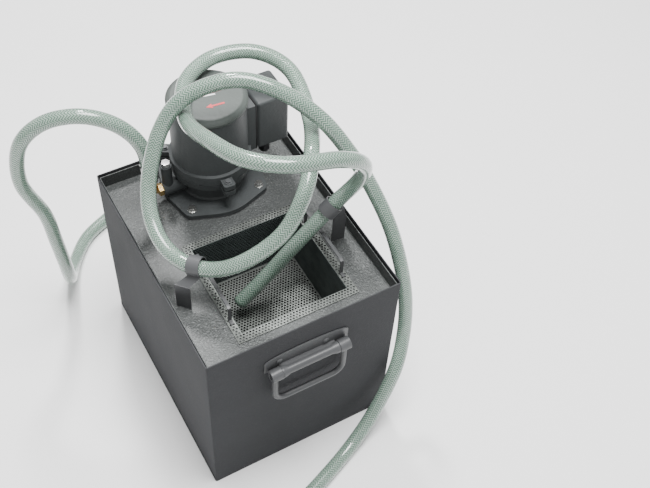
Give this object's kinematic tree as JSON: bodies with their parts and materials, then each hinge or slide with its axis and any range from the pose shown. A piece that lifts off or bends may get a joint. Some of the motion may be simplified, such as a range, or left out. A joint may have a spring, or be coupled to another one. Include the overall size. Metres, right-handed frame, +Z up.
{
  "type": "parts washer tank",
  "caption": "Rectangular sheet-metal coolant tank with a recessed lid, a lift-out strainer basket, an immersion pump and flexible supply and drain hoses.",
  "frame": {"origin": "centre of the tank's footprint, on the floor", "axes": "+Z up; +X to the right as seen from the front (the wall with the carrying handle); +Y to the back, where the pump stands"},
  "size_m": [0.4661, 0.9998, 0.5586],
  "materials": {
    "grey_paint": "hammered dark grey enamel",
    "pale_paint": "hammered light grey enamel",
    "zinc_steel": "zinc-plated sheet and screws, dull",
    "chrome": "bright plated",
    "brass": "turned brass, satin",
    "black_rubber": "matt",
    "black_plastic": "moulded, satin",
    "cast_iron": "as cast, painted dark",
    "steel": "machined",
    "copper_steel": "laminated core with varnished windings",
    "hose_pvc": "soft translucent green PVC with a woven reinforcement"
  },
  "bodies": {
    "tank": {"cable_gland": "black_plastic", "delivery_hose": "hose_pvc", "delivery_hose_clamp": "chrome", "delivery_hose_coil": "hose_pvc", "delivery_hose_coupling": "brass", "drain_hose": "hose_pvc", "drain_hose_coil": "hose_pvc", "drain_hose_coupling": "brass", "drain_plug": "zinc_steel", "drain_plug_washer": "brass", "drain_socket": "steel", "handle_pin": "steel", "handle_plate": "grey_paint", "handle_rivet_1": "grey_paint", "handle_rivet_2": "grey_paint", "hose_clip_left": "grey_paint", "hose_clip_right": "grey_paint", "inlet_screen": "zinc_steel", "lid_ledge": "grey_paint", "lid_tray": "pale_paint", "lower_bearing": "steel", "lower_bearing_cup": "cast_iron", "motor_bolt_1": "zinc_steel", "motor_bolt_2": "zinc_steel", "motor_bolt_3": "zinc_steel", "motor_cap": "pale_paint", "motor_housing": "grey_paint", "outlet_boss": "grey_paint", "outlet_elbow": "brass", "priming_plug": "chrome", "pump_bracket": "grey_paint", "pump_gasket": "black_rubber", "pump_screw_1": "zinc_steel", "pump_screw_2": "zinc_steel", "pump_screw_3": "zinc_steel", "pump_screw_4": "zinc_steel", "pump_stem": "cast_iron", "pump_volute": "cast_iron", "shaft_seal": "black_rubber", "stator_core": "copper_steel", "tank_shell": "grey_paint", "terminal_block": "black_plastic", "terminal_box_lid": "grey_paint", "terminal_gasket": "black_rubber", "terminal_screw_1": "zinc_steel", "terminal_screw_2": "zinc_steel", "upper_bearing": "steel", "upper_bearing_plate": "cast_iron", "weir_plate": "grey_paint"},
    "bail": {"handle_bail": "grey_paint"},
    "basket": {"strainer_basket": "zinc_steel", "basket_handle_left": "zinc_steel", "basket_handle_right": "zinc_steel"},
    "rotor": {"pump_shaft": "steel", "rotor_core": "steel", "impeller": "brass"}
  },
  "joints": [
    {"name": "handle_hinge", "type": "hinge", "parent": "tank", "child": "bail", "pos_m": [0, -0.203, 0.257], "axis": [-1, 0, 0], "range_deg": [0, 90]},
    {"name": "basket_lift", "type": "slide", "parent": "tank", "child": "basket", "axis": [0, 0, 1], "range_m": [0, 0.005]},
    {"name": "pump_rotation", "type": "hinge", "parent": "tank", "child": "rotor", "pos_m": [0.008, 0.1245, 0.25], "axis": [0, 0, 1], "continuous": true}
  ]
}
